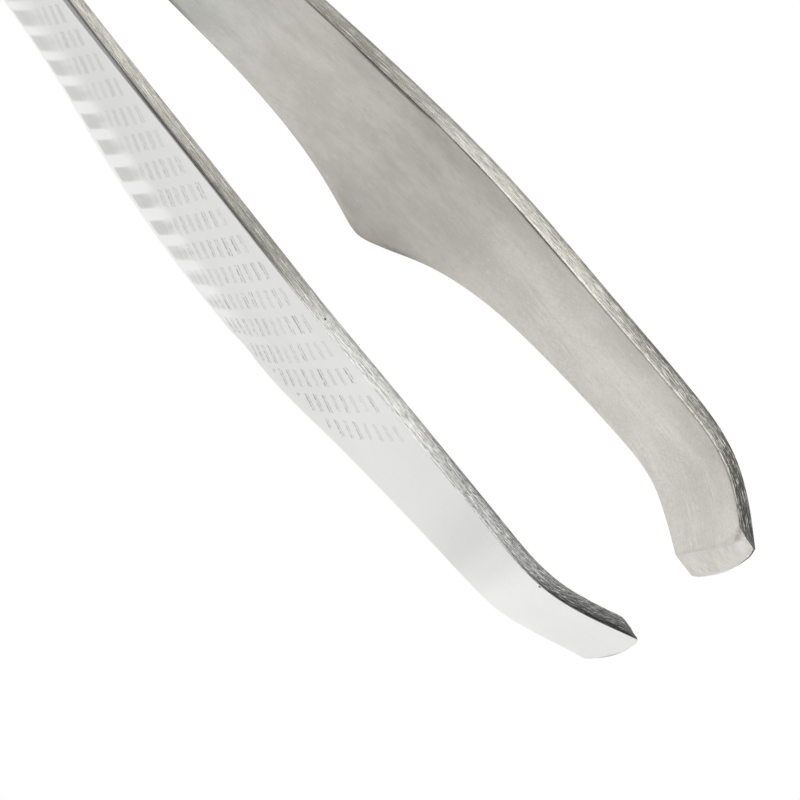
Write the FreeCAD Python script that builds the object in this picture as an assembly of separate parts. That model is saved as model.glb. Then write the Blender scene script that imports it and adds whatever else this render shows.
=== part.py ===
import FreeCAD, Part

import math
import os

# Slant tweezers: two stamped stainless blades laid together and welded at the heel.
# Millimetres. +X runs from the heel to the slanted tips, Y is the opening direction
# (left blade at -Y, right blade at +Y), +Z is up across the width of the blades.
# Origin: middle of the heel's rear end, on the plane where the two blades meet.
# Y = 0 is the plane of symmetry. The rest pose is the free, open state.
# Each blade is a tang behind the flexing station and an arm in front of it.

Vector = FreeCAD.Vector

# ---------------------------------------------------------------- driving sizes
LENGTH = 95.5           # heel end to the upper (longer) corner of the slanted tips
HEEL_X = 0.0            # rear end of the blades, ground flush with the seam weld
STOCK = 0.93            # sheet thickness
TIP_STOCK = 0.80        # thickness at the ground tips
FACE_GAP = 0.01         # each blade's inner face stands this far off the mid plane
WELD_END = 8.0          # the blades lie flat on each other from the heel to here

SLANT = 1.44            # the lower tip corner lies this far behind the upper one
SLANT_START = 82.0      # the sections begin to lean towards the slant here
EDGE_CROWN = 0.30       # forward bow of the slanted end edge
TIP_START = 86.0        # the bow and the thinning towards the tip begin here

FLEX_X = 24.0           # station the elastic bending of a blade is gathered at
FLEX_Y = 1.96           # the blade's mid line at that station
SPLIT = 0.12            # running gap between tang and arm at the flexing station

LAND_GAP = 0.01         # each closed land stops this far off the mid plane
EDGE_LEFT = 0.05        # thickness left at the sharp lower end of the end edge
LAND_CUT_START = 40.0   # the land cutter starts this far ahead of the flexing station
LAND_CUT_SIZE = (60.0, 20.0, 40.0)

HEEL_CORNER_R = 1.3     # radius of the heel's corners, seen along Y
NUGGET_R = 1.2          # resistance-weld nuggets between the tangs
NUGGET_T = 0.40
NUGGET_X = (2.9, 6.3)
BEAD_DEPTH = 0.70       # how deep the seam bead reaches between the blade ends
BEAD_HALF_Y = 0.55
BEAD_HALF_Z = 2.20

# Sampling of the blade surface
POINTS_ACROSS = 17      # points from the upper to the lower edge
SLOPE_STEP_X = 0.05     # half spans of the differences that give the surface normal
SLOPE_STEP_ACROSS = 0.02

# ---------------------------------------------------------------- blade outline
# Outline seen along Y: (x, z) of the upper edge and of the lower edge.
TOP_Z = [
    (-2, 2.700), (4, 2.700), (8, 2.700), (20, 2.725), (32, 2.815), (42, 2.95), (48, 3.09),
    (53, 3.29), (57, 3.58), (61, 3.888), (65, 4.165), (69, 4.355), (73, 4.462), (77, 4.466),
    (81, 4.390), (85, 4.300), (88, 4.198), (90.5, 4.078), (92.5, 3.945), (94, 3.795),
    (95.5, 3.550), (97, 3.241),
]
BOTTOM_Z = [
    (-2, -2.700), (4, -2.700), (8, -2.700), (20, -2.770), (32, -2.890), (42, -3.012),
    (50, -3.170), (55, -3.351), (59, -3.622), (62, -3.885), (65, -4.290), (67.2, -4.700),
    (68.4, -4.960), (69.2, -5.130), (69.75, -5.150), (70.3, -4.980), (71.0, -4.610),
    (71.9, -4.160), (72.9, -3.700), (74, -3.245), (75.5, -2.735), (77.5, -2.195),
    (80, -1.775), (83, -1.440), (86, -1.235), (87.8, -1.200), (89.2, -1.290),
    (90.6, -1.400), (92.2, -1.475), (94.06, -1.575), (95.6, -1.690),
]
# Side profile: (x, y) of the outer face at the upper edge and at the lower edge.
TOP_Y = [
    (-2, 0.940), (2, 0.940), (6, 0.940), (8, 0.940), (9.2, 0.962), (10.5, 1.022),
    (12, 1.132), (14, 1.330), (17, 1.656), (20, 1.985), (26, 2.639), (32, 3.294),
    (38, 3.944), (44, 4.573), (50, 5.197), (56, 5.793), (61, 6.262), (65, 6.625),
    (69, 6.952), (73, 7.190), (77, 7.268), (81, 7.295), (84.5, 7.335), (87, 7.352),
    (88.6, 7.325), (89.5, 7.250), (90.5, 7.070), (91.5, 6.760), (92.5, 6.300),
    (93.5, 5.730), (94.5, 5.070), (95.5, 4.360), (97, 3.250),
]
BOTTOM_Y = [
    (-2, 0.940), (2, 0.940), (6, 0.940), (8, 0.940), (9.2, 0.959), (10.5, 1.010),
    (12, 1.104), (14, 1.272), (17, 1.540), (20, 1.790), (26, 2.230), (32, 2.640),
    (38, 3.030), (44, 3.420), (49, 3.800), (53, 4.190), (56, 4.600), (58, 4.935),
    (60, 5.205), (62, 5.385), (65, 5.460), (67.2, 5.310), (68.6, 5.130), (69.4, 5.050),
    (70.1, 5.095), (70.9, 5.320), (71.8, 5.680), (72.8, 6.030), (74, 6.330),
    (75.5, 6.555), (77.5, 6.700), (80, 6.757), (83, 6.760), (86, 6.725), (87.8, 6.640),
    (88.6, 6.545), (89.3, 6.400), (90, 6.160), (91, 5.700), (92, 5.190), (93, 4.650),
    (94.06, 4.080), (95.6, 3.240),
]
# (x, roll): how tightly the lower wing rolls inward, 0 gentle to 1 tight.
ROLL = [
    (-2, 0.0), (9, 0.0), (20, 0.12), (32, 0.32), (44, 0.52), (56, 0.76), (64, 0.93),
    (69, 0.98), (72, 0.84), (75, 0.52), (78, 0.22), (81, 0.05), (84, 0.0), (90, 0.0), (98, 0.0),
]


# ---------------------------------------------------------------- smooth curves
def spline(knots):
    """Cubic through the knots with continuous curvature; straight beyond both ends."""
    count = len(knots)
    xs, ys = zip(*knots)
    gap = [xs[i + 1] - xs[i] for i in range(count - 1)]
    slope = [(ys[i + 1] - ys[i]) / gap[i] for i in range(count - 1)]
    # second derivatives (curve) by forward elimination and back substitution
    upper = [0.0] * count
    right = [0.0] * count
    curve = [0.0] * count
    for i in range(1, count - 1):
        pivot = 2 * (gap[i - 1] + gap[i]) - gap[i - 1] * upper[i - 1]
        upper[i] = gap[i] / pivot
        right[i] = (6 * (slope[i] - slope[i - 1]) - gap[i - 1] * right[i - 1]) / pivot
    for i in range(count - 2, 0, -1):
        curve[i] = right[i] - upper[i] * curve[i + 1]

    def value(x):
        if x <= xs[0]:
            return ys[0] + (slope[0] - gap[0] * curve[1] / 6) * (x - xs[0])
        if x >= xs[-1]:
            return ys[-1] + (slope[-1] + gap[-1] * curve[-2] / 6) * (x - xs[-1])
        i = 0
        while i < count - 2 and x > xs[i + 1]:
            i += 1
        before = (xs[i + 1] - x) / gap[i]
        after = (x - xs[i]) / gap[i]
        bend = (before ** 3 - before) * curve[i] + (after ** 3 - after) * curve[i + 1]
        return before * ys[i] + after * ys[i + 1] + bend * gap[i] ** 2 / 6

    return value


top_z, bottom_z = spline(TOP_Z), spline(BOTTOM_Z)
top_y, bottom_y = spline(TOP_Y), spline(BOTTOM_Y)
roll = spline(ROLL)


def ease_to_tip(x, start):
    """0 up to the start, rising smoothly to 1 at the tip."""
    t = max(0.0, min(1.0, (x - start) / (LENGTH - start)))
    return t * t * (3 - 2 * t)


# ---------------------------------------------------------------- blade surfaces
# station is X along the upper edge; across runs from 0 at the upper edge to 1 at the lower.
def outer(station, across):
    """Point on the outer face of the right blade."""
    lean = SLANT * ease_to_tip(station, SLANT_START)
    bow = EDGE_CROWN * 4 * across * (1 - across) * ease_to_tip(station, TIP_START)
    top_x = station + bow
    bottom_x = station - lean + bow
    tight = roll(station)
    gentle_share = 0.45 * across + 0.55 * across ** 2
    tight_share = 0.25 * across + 0.25 * across ** 2 + 0.5 * across ** 4
    share = (1 - tight) * gentle_share + tight * tight_share
    return Vector(
        station - lean * across + bow,
        (1 - share) * top_y(top_x) + share * bottom_y(bottom_x),
        (1 - across) * top_z(top_x) + across * bottom_z(bottom_x))


def inner(station, across):
    """Outer face moved inward along its own normal by the sheet thickness."""
    point = outer(station, across)
    if station <= WELD_END:
        return point - Vector(0, STOCK, 0)
    above = max(0.0, across - SLOPE_STEP_ACROSS)
    below = min(1.0, across + SLOPE_STEP_ACROSS)
    forward = outer(station + SLOPE_STEP_X, across) - outer(station - SLOPE_STEP_X, across)
    down = outer(station, below) - outer(station, above)
    normal = forward.cross(down)
    thickness = STOCK + (TIP_STOCK - STOCK) * ease_to_tip(station, TIP_START)
    scale = thickness / normal.Length
    if normal.y < 0:
        scale = -scale
    return point - normal * scale


def stations(start, end):
    """Stations from start to end, closer together where the blade curves more."""
    found = [start]
    x = start
    while x < end - 1e-9:
        if x < 50:
            step = 2.5
        elif x < 66 or 76 < x < 86:
            step = 1.0
        else:
            step = 0.5
        x = min(end, x + step)
        # a short remainder is taken into the last step
        if end - x < step * 0.4:
            x = end
        found.append(x)
    return found


def face_surface(face_point, start, end):
    surface = Part.BSplineSurface()
    surface.interpolate([
        [face_point(station, i / (POINTS_ACROSS - 1.0)) for i in range(POINTS_ACROSS)]
        for station in stations(start, end)])
    return surface


def border(surface):
    """Rear, front, upper and lower edge of a face."""
    u0, u1, v0, v1 = surface.bounds()
    curves = (surface.uIso(u0), surface.uIso(u1), surface.vIso(v0), surface.vIso(v1))
    return [curve.toShape() for curve in curves]


def sheet(start, end):
    """Closed solid of the right blade between two stations."""
    outside = face_surface(outer, start, end)
    inside = face_surface(inner, start, end)
    faces = [outside.toShape(), inside.toShape()]
    for outside_edge, inside_edge in zip(border(outside), border(inside)):
        faces.append(Part.makeRuledSurface(outside_edge, inside_edge))
    shell = Part.makeShell(faces)
    shell.sewShape()
    solid = Part.makeSolid(shell)
    if solid.Volume < 0:
        solid.reverse()
    return solid


def main_solid(shape):
    """The largest solid in a boolean's result."""
    return max(shape.Solids, key=lambda solid: solid.Volume)


# ---------------------------------------------------------------- heel and welds
def heel_outline():
    """Prism along Y with the heel's two rounded corners, larger than the tang elsewhere."""
    y, depth = -5, 20
    front_x, half_z = 40, 9
    radius = HEEL_CORNER_R
    edge_z = top_z(HEEL_X)
    clear_z = edge_z + 0.001    # the arcs end just outside the blade's edges
    corner_x = HEEL_X + radius
    arc_inset = radius * (1 - math.sqrt(0.5))

    def at(x, z):
        return Vector(x, y, z)

    def corner(start, end, side):
        middle = at(HEEL_X + arc_inset, side * (edge_z - arc_inset))
        return Part.Arc(start, middle, end).toShape()

    path = [
        at(corner_x, clear_z), at(corner_x, half_z), at(front_x, half_z),
        at(front_x, -half_z), at(corner_x, -half_z), at(corner_x, -clear_z),
    ]
    rear_low = at(HEEL_X, radius - edge_z)
    rear_high = at(HEEL_X, edge_z - radius)
    edges = [Part.makeLine(rear_low, rear_high), corner(rear_high, path[0], 1)]
    edges += [Part.makeLine(a, b) for a, b in zip(path, path[1:])]
    edges.append(corner(path[-1], rear_low, -1))
    return Part.Face(Part.Wire(edges)).extrude(Vector(0, depth, 0))


def bead_wedge():
    """Wedge that fills the V between the two blade ends."""
    rear_right = Vector(HEEL_X, BEAD_HALF_Y, -BEAD_HALF_Z)
    rear_left = Vector(HEEL_X, -BEAD_HALF_Y, -BEAD_HALF_Z)
    root = Vector(HEEL_X + BEAD_DEPTH, 0.0, -BEAD_HALF_Z)
    wire = Part.makePolygon([rear_left, rear_right, root, rear_left])
    return Part.Face(wire).extrude(Vector(0, 0, 2 * BEAD_HALF_Z))


def weld_nuggets():
    """Short discs let half into each inner face."""
    return [
        Part.makeCylinder(NUGGET_R, NUGGET_T, Vector(x, -NUGGET_T / 2, 0), Vector(0, 1, 0))
        for x in NUGGET_X]


# ---------------------------------------------------------------- right blade
def right_tang(outline, wedge, nuggets):
    """Flat welded prism carried on by the curved sheet, with seats for the welds."""
    curved = sheet(WELD_END, FLEX_X - SPLIT / 2)
    low_z = bottom_z(WELD_END)
    flat = Part.makeBox(WELD_END - HEEL_X, STOCK, top_z(WELD_END) - low_z,
                        Vector(HEEL_X, FACE_GAP, low_z))
    tang = main_solid(flat.fuse(curved))
    tang = main_solid(tang.common(outline))
    for weld in [wedge] + nuggets:
        tang = main_solid(tang.cut(weld))
    return tang


def closing_angle():
    """Angle in degrees that each arm turns about the flexing station to close."""
    edge_x = LENGTH - SLANT
    edge_y = bottom_y(edge_x) - EDGE_LEFT
    angle = 0.0
    # fixed-point iteration
    for _ in range(30):
        drop = FLEX_Y - LAND_GAP + (edge_y - FLEX_Y) * math.cos(angle)
        angle = math.asin(drop / (edge_x - FLEX_X))
    return math.degrees(angle)


def right_arm():
    """Curved sheet with the land ground where the tips meet when pinched shut."""
    arm = sheet(FLEX_X + SPLIT / 2, LENGTH)
    # The cutter is placed for the closed pose, then turned open into the rest pose.
    cutter = Part.makeBox(*LAND_CUT_SIZE, Vector(
        FLEX_X + LAND_CUT_START, LAND_GAP - LAND_CUT_SIZE[1], -LAND_CUT_SIZE[2] / 2))
    cutter.rotate(Vector(FLEX_X, FLEX_Y, 0), Vector(0, 0, 1), closing_angle())
    return main_solid(arm.cut(cutter))


def mirrored(shape):
    """The left blade's copy, across Y = 0."""
    return shape.mirror(Vector(0, 0, 0), Vector(0, 1, 0))


# ---------------------------------------------------------------- parts
outline = heel_outline()
wedge = bead_wedge()
nuggets = weld_nuggets()
tang = right_tang(outline, wedge, nuggets)
arm = right_arm()

parts = {
    "right_blade_tang": tang,
    "right_blade_arm": arm,
    "left_blade_tang": mirrored(tang),
    "left_blade_arm": mirrored(arm),
    # the bead is ground to the same rounded heel outline
    "heel_seam_weld": main_solid(wedge.common(outline)),
    "spot_weld_nuggets": Part.makeCompound(nuggets),
}

os.makedirs("parts", exist_ok=True)
for name, shape in parts.items():
    shape.exportStep(os.path.join("parts", name + ".step"))
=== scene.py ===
import math

import bpy
import numpy as np
from mathutils import Matrix, Vector


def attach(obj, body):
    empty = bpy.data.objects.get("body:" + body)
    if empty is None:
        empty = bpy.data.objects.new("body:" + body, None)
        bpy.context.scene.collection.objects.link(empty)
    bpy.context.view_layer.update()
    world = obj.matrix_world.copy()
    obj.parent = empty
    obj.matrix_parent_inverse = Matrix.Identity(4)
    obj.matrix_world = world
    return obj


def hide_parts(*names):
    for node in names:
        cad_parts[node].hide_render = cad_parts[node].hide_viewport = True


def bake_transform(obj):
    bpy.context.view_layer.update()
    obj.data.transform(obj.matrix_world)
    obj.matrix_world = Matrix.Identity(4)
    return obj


# Slant tweezers. X runs from the welded heel (0) to the tip, Z across the blades' width and
# Y through their thickness; the right blade lies at +Y and the left one mirrors it at -Y.
# Each blade is one continuous skin with rounded corners, an engraved grip and a ground land
# inside the tip. Lengths are in millimetres and go to metres when a mesh is made.
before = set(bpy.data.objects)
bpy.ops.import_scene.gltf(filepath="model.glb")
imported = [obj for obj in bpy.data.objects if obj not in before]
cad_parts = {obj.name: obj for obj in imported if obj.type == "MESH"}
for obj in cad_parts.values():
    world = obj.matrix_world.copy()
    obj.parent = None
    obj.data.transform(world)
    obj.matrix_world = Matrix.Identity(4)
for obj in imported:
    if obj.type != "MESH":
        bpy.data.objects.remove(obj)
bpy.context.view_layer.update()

MM = 0.001
LENGTH = 95.5
STOCK, TIP_STOCK = 0.93, 0.80           # blade thickness, and the same at the tip
WELD_END = 8.0                          # the blades lie flat together up to here
HEEL_GAP = 0.01                         # from the middle plane to a blade's inner face
SLANT, SLANT_START = 1.44, 82.0         # how far the lower tip corner lies behind the upper
EDGE_CROWN = 0.30                       # forward bow of the end edge
TIP_START = 86.0                        # thinning and crown begin
FLEX_X, FLEX_Y, LAND_GAP = 24.0, 1.96, 0.01
CLOSE = math.radians(3.287)             # turn about the flex point that closes the lands
HEEL_CORNER_R, HEEL_HALF_W = 1.3, 2.7
BEAD_DEPTH, BEAD_HALF_Y, BEAD_HALF_Z = 0.70, 0.55, 2.20

# Outer face of the right blade: (X, Z) and (X, Y) of its upper and lower edges
TOP_Z = [
    (-2, 2.700), (4, 2.700), (8, 2.700), (20, 2.725), (32, 2.815), (42, 2.95), (48, 3.09),
    (53, 3.29), (57, 3.58), (61, 3.888), (65, 4.165), (69, 4.355), (73, 4.462), (77, 4.466),
    (81, 4.390), (85, 4.300), (88, 4.198), (90.5, 4.078), (92.5, 3.945), (94, 3.795),
    (95.5, 3.550), (97, 3.241)]
BOTTOM_Z = [
    (-2, -2.700), (4, -2.700), (8, -2.700), (20, -2.770), (32, -2.890), (42, -3.012),
    (50, -3.170), (55, -3.351), (59, -3.622), (62, -3.885), (65, -4.290), (67.2, -4.700),
    (68.4, -4.960), (69.2, -5.130), (69.75, -5.150), (70.3, -4.980), (71.0, -4.610),
    (71.9, -4.160), (72.9, -3.700), (74, -3.245), (75.5, -2.735), (77.5, -2.195), (80, -1.775),
    (83, -1.440), (86, -1.235), (87.8, -1.200), (89.2, -1.290), (90.6, -1.400), (92.2, -1.475),
    (94.06, -1.575), (95.6, -1.690)]
TOP_Y = [
    (-2, 0.940), (2, 0.940), (6, 0.940), (8, 0.940), (9.2, 0.962), (10.5, 1.022), (12, 1.132),
    (14, 1.330), (17, 1.656), (20, 1.985), (26, 2.639), (32, 3.294), (38, 3.944), (44, 4.573),
    (50, 5.197), (56, 5.793), (61, 6.262), (65, 6.625), (69, 6.952), (73, 7.190), (77, 7.268),
    (81, 7.295), (84.5, 7.335), (87, 7.352), (88.6, 7.325), (89.5, 7.250), (90.5, 7.070),
    (91.5, 6.760), (92.5, 6.300), (93.5, 5.730), (94.5, 5.070), (95.5, 4.360), (97, 3.250)]
BOTTOM_Y = [
    (-2, 0.940), (2, 0.940), (6, 0.940), (8, 0.940), (9.2, 0.959), (10.5, 1.010), (12, 1.104),
    (14, 1.272), (17, 1.540), (20, 1.790), (26, 2.230), (32, 2.640), (38, 3.030), (44, 3.420),
    (49, 3.800), (53, 4.190), (56, 4.600), (58, 4.935), (60, 5.205), (62, 5.385), (65, 5.460),
    (67.2, 5.310), (68.6, 5.130), (69.4, 5.050), (70.1, 5.095), (70.9, 5.320), (71.8, 5.680),
    (72.8, 6.030), (74, 6.330), (75.5, 6.555), (77.5, 6.700), (80, 6.757), (83, 6.760),
    (86, 6.725), (87.8, 6.640), (88.6, 6.545), (89.3, 6.400), (90, 6.160), (91, 5.700),
    (92, 5.190), (93, 4.650), (94.06, 4.080), (95.6, 3.240)]
# (X, share of the section's curve that is gathered towards the lower edge)
ROLL = [
    (-2, 0.0), (9, 0.0), (20, 0.12), (32, 0.32), (44, 0.52), (56, 0.76), (64, 0.93), (69, 0.98),
    (72, 0.84), (75, 0.52), (78, 0.22), (81, 0.05), (84, 0.0), (90, 0.0), (98, 0.0)]


class Spline:
    """Cubic through the knots with continuous curvature; straight beyond both ends."""

    def __init__(self, knots):
        self.x, self.y = np.array(knots, float).T
        self.step = step = np.diff(self.x)
        self.slope = slope = np.diff(self.y) / step
        count = len(self.x)
        matrix = np.zeros((count, count))
        known = np.zeros(count)
        matrix[0, 0] = matrix[-1, -1] = 1
        for i in range(1, count - 1):
            matrix[i, i - 1:i + 2] = step[i - 1], 2 * (step[i - 1] + step[i]), step[i]
            known[i] = 6 * (slope[i] - slope[i - 1])
        self.bend = np.linalg.solve(matrix, known)

    def __call__(self, at):
        at = np.asarray(at, float)
        x, y, step, bend, slope = self.x, self.y, self.step, self.bend, self.slope
        i = np.clip(np.searchsorted(x, at, side="left") - 1, 0, len(step) - 1)
        back, ahead = (x[i + 1] - at) / step[i], (at - x[i]) / step[i]
        curve = (back * y[i] + ahead * y[i + 1]
                 + ((back ** 3 - back) * bend[i] + (ahead ** 3 - ahead) * bend[i + 1])
                 * step[i] ** 2 / 6)
        before = y[0] + (slope[0] - step[0] * bend[1] / 6) * (at - x[0])
        after = y[-1] + (slope[-1] + step[-1] * bend[-2] / 6) * (at - x[-1])
        return np.where(at <= x[0], before, np.where(at >= x[-1], after, curve))


top_z, bottom_z, top_y, bottom_y, roll = (
    Spline(knots) for knots in (TOP_Z, BOTTOM_Z, TOP_Y, BOTTOM_Y, ROLL))


def smooth(value):
    value = np.clip(value, 0.0, 1.0)
    return value * value * (3 - 2 * value)


def lookup(value, table):
    """Straight-line reading of a table of (position, value) pairs."""
    return float(np.interp(value, *zip(*table)))


# ------------------------------------------------------------------ shape of the right blade
# `along` is X measured on the upper edge; `share` is 0 at the upper edge and 1 at the lower.
def tip_share(along):
    return smooth((along - TIP_START) / (LENGTH - TIP_START))


def heel_scale(x):
    """How far the rounded heel corners pull the width in."""
    radius = HEEL_CORNER_R
    short = np.clip(radius - x, 0.0, radius)
    half = HEEL_HALF_W - radius + np.sqrt(np.maximum(radius * radius - short * short, 0.0))
    return half / HEEL_HALF_W


def outer_face(along, share):
    lean = SLANT * smooth((along - SLANT_START) / (LENGTH - SLANT_START))
    bow = EDGE_CROWN * 4 * share * (1 - share) * tip_share(along)
    x_top, x_bottom, rolled = along + bow, along - lean + bow, roll(along)
    # how the drop in Y from the upper edge to the lower is spread across the section
    plain = 0.45 * share + 0.55 * share * share
    gathered = 0.25 * share + 0.25 * share * share + 0.5 * share ** 4
    drop = (1 - rolled) * plain + rolled * gathered
    y = (1 - drop) * top_y(x_top) + drop * bottom_y(x_bottom)
    z = ((1 - share) * top_z(x_top) + share * bottom_z(x_bottom)) * heel_scale(along)
    return np.stack([along - lean * share + bow, y, z], -1)


def stock(along):
    return STOCK + (TIP_STOCK - STOCK) * tip_share(along)


def normal(along, share):
    """Unit normal of the outer face, pointing to +Y."""
    low, high = np.maximum(0.0, share - 0.02), np.minimum(1.0, share + 0.02)
    clear = np.maximum(along, 2.0)
    cross = np.cross(outer_face(clear + 0.05, share) - outer_face(clear - 0.05, share),
                     outer_face(clear, high) - outer_face(clear, low))
    cross = cross / np.linalg.norm(cross, axis=-1, keepdims=True)
    cross = cross * np.sign(cross[..., 1:2])
    return np.where((along <= WELD_END)[..., None], np.array([0.0, 1.0, 0.0]), cross)


# The ground land is the plane y = LAND_Y0 + LAND_SLOPE * x
LAND_SLOPE = math.tan(CLOSE)
LAND_Y0 = FLEX_Y - (FLEX_Y - LAND_GAP) / math.cos(CLOSE) - FLEX_X * LAND_SLOPE


def land_depth(face, out):
    """Distance from the outer face, along its normal, to the plane of the land."""
    return (face[..., 1] - LAND_Y0 - LAND_SLOPE * face[..., 0]) / (
        out[..., 1] - LAND_SLOPE * out[..., 0])


def thickness(along, face, out):
    """Blade thickness, cut by the land near the tip and by the V of the weld at the heel."""
    thick = stock(along)
    thick = np.where(along > 80, np.minimum(thick, land_depth(face, out)), thick)
    groove = (STOCK + HEEL_GAP) - BEAD_HALF_Y * (1 - along / BEAD_DEPTH)
    within = smooth((BEAD_HALF_Z - np.abs(face[..., 2])) / 0.22)
    groove = groove * within + STOCK * (1 - within)
    return np.where(along < BEAD_DEPTH, np.minimum(thick, groove), thick)


def find_land_start(share):
    """Bisects for the place where the land begins."""
    low, high = np.full(share.shape, 88.0), np.full(share.shape, LENGTH)
    for _ in range(40):
        middle = (low + high) / 2
        face = outer_face(middle, share)
        full = land_depth(face, normal(middle, share)) - stock(middle) > 0
        low, high = np.where(full, middle, low), np.where(full, high, middle)
    return (low + high) / 2


LAND_SHARES = np.linspace(0, 1, 65)
LAND_STARTS = find_land_start(LAND_SHARES)
LAND_STATION = float(np.mean(LAND_STARTS))
SLIDE_START = 88.6


def land_start(share):
    return np.interp(share, LAND_SHARES, LAND_STARTS)


def slide(along, share):
    """Slides stations near the tip so that one ring lies exactly where the land begins."""
    start = land_start(share)
    # both corners of the end edge are slightly rounded
    upper_round = 0.15 * np.maximum(1 - share / 0.12, 0.0) ** 2
    lower_round = 0.06 * np.maximum((share - 0.90) / 0.10, 0.0) ** 2
    end = LENGTH - upper_round - lower_round
    ease = smooth((along - SLIDE_START) / (LAND_STATION - SLIDE_START))
    before = along + (start - LAND_STATION) * ease
    after = start + (along - LAND_STATION) / (LENGTH - LAND_STATION) * (end - start)
    return np.where(along < LAND_STATION, before, after)


def relief_lead(share):
    """How far behind the land's start its relief begins, at the upper corner."""
    return 0.50 * np.maximum(1 - share / 0.25, 0.0)


def relief(along, share, thick):
    """Thins the land's end at the upper corner, so that it meets the outer face sharply."""
    start, lead = land_start(share), relief_lead(share)
    progress = np.clip((along - start + lead) / (LENGTH - start + lead), 0.0, 1.0)
    fade = np.maximum(1 - share / 0.24, 0.0) ** 1.5
    return thick - np.maximum(thick - 0.045, 0.0) * progress * fade


# ------------------------------------------------------------------ engraved grip
# Rows of short strokes: X where each row starts near the upper edge, and how far the row
# falls back in X per mm across the blade. The rear seven rows are evenly spaced.
ROW_X = [79.68, 77.72, 75.91, 74.21, 72.52, 70.83, 69.14, 67.45, 65.77, 64.07, 62.37, 60.67,
         59.07, 57.34, 55.73, 54.18, 52.60, 51.00]
ROW_X += [ROW_X[-1] - 1.59 * (i + 1) for i in range(7)]
ROW_SLOPE = [0.62, 0.535, 0.481, 0.442, 0.43, 0.42, 0.41, 0.40] + [0.39] * 6
ROW_SLOPE += [0.385] * (len(ROW_X) - len(ROW_SLOPE))
STROKES, FIRST_STROKE, STROKE_PITCH = 16, 0.83, 0.67    # places across the blade
STROKE_LENGTH, STROKE_HALF, STROKE_DEPTH = 1.02, 0.150, 0.022
MARGIN = 0.72                                           # left plain along the lower edge
# Engraving values by mesh attribute, as they are away from every stroke: depth share,
# distances to the nearest stroke's flank and ends (negative inside), two numbers that vary
# by stroke, the band of merged strokes, the ridge between bands and the merging itself.
PLAIN = {"groove": 0.0, "flank": 0.6, "tail": 0.6, "ra": 0.5, "rb": 0.5,
         "band": 0.0, "ridge": 0.0, "run": 0.0}


def scatter(stroke, row, salt):
    """Repeatable number from 0 to 1."""
    value = np.sin(stroke * 127.1 + row * 311.7 + salt * 74.7) * 43758.5453
    return float(value - np.floor(value))


def raise_to(field, index, value):
    field[index] = np.maximum(field[index], value)


def engrave(x, across, width):
    """Engraving at points of the outer face, `across` being measured from the upper edge."""
    fields = {key: np.full(x.shape, value) for key, value in PLAIN.items()}
    nearest = np.full(x.shape, 0.6)
    for row, (row_x, slope) in enumerate(zip(ROW_X, ROW_SLOPE)):
        near = np.nonzero((x > row_x - slope * (width - 0.8) - 0.5) & (x < row_x + 1.7))[0]
        if not len(near):
            continue
        near_x, near_across, near_width = x[near], across[near], width[near]
        front = float(smooth((row_x - 62.0) / 12.0))
        reach = 3.9 + 1.4 * (1 - float(smooth((row_x - 48.0) / 12.0)))
        merge = smooth((near_across - (near_width - reach)) / (reach - 1.6)) * (
            1 - float(smooth((row_x - 65.0) / 9.0)))
        for stroke in range(STROKES):
            place = FIRST_STROKE + stroke * STROKE_PITCH
            start_x = row_x - slope * (place - FIRST_STROKE)
            # strokes lean more away from the upper edge
            lean = (0.44 - 0.20 * front) + (0.22 + 0.10 * front) * float(
                smooth((place - 0.8) / 2.4))
            cosine, sine = 1 / math.hypot(1, lean), lean / math.hypot(1, lean)
            fill, stretch, bite = (scatter(stroke, row, salt) for salt in (0.0, 3.0, 5.0))
            if 71.5 < row_x < 78.5 and stroke > 6:
                bite = 0.35 * bite + 0.65      # cut harder where these rows meet the rolled limb
            length = STROKE_LENGTH * (0.92 + 0.12 * stretch)
            ahead = (near_x - start_x) * cosine + (near_across - place) * sine
            aside = (near_across - place) * cosine - (near_x - start_x) * sine
            keep = ((np.abs(aside) < 0.42) & (ahead > -0.30) & (ahead < length + 0.30)
                    & (place + sine * length < near_width - MARGIN))
            if not keep.any():
                continue
            half = (STROKE_HALF - 0.030 * front) * (0.92 + 0.16 * bite)
            to_flank = np.abs(aside[keep]) - half
            to_end = -np.minimum(ahead[keep], length - ahead[keep])
            distance = np.maximum(to_flank, to_end)
            index = near[keep]
            raise_to(fields["groove"], index, smooth(0.5 - distance / 0.08)
                     * (0.45 + 0.55 * fill) * (1 - 0.8 * merge[keep]))
            closer = distance < nearest[index]
            for field, value in ((nearest, distance), (fields["flank"], to_flank),
                                 (fields["tail"], to_end), (fields["ra"], fill),
                                 (fields["rb"], bite)):
                field[index] = np.where(closer, value, field[index])
        # on the rolled limb of the rear rows the strokes run together
        ahead = near_x - (row_x - slope * (near_across - FIRST_STROKE) + 0.03)
        band = smooth(np.minimum(ahead, 1.0 - ahead) / 0.20 + 0.5) * smooth(
            (near_width - MARGIN + 0.35 - near_across) / 0.3)
        raise_to(fields["groove"], near, 0.85 * band * merge)
        raise_to(fields["band"], near, band * merge)
        raise_to(fields["ridge"], near,
                 merge * (1 - band) * smooth((1.62 - np.abs(ahead - 0.5)) / 0.3))
    fields["run"] = smooth((across - (width - 4.4)) / 2.4)
    return fields


# ------------------------------------------------------------------ mesh helpers
def mesh_object(name, verts, faces):
    mesh = bpy.data.meshes.new(name)
    mesh.from_pydata(verts, [], faces)
    mesh.update()
    ob = bpy.data.objects.new(name, mesh)
    bpy.context.scene.collection.objects.link(ob)
    return ob


def ring_quads(rings, size):
    """Quads that join closed rings of `size` points, one ring to the next."""
    return [(j * size + i, j * size + (i + 1) % size,
             (j + 1) * size + (i + 1) % size, (j + 1) * size + i)
            for j in range(rings - 1) for i in range(size)]


def turn_outward(mesh, verts, quads):
    corners = verts[np.array([quad[:3] for quad in quads])]
    if np.einsum("ij,ij->i", corners[:, 0], np.cross(corners[:, 1], corners[:, 2])).sum() < 0:
        mesh.flip_normals()


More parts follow.
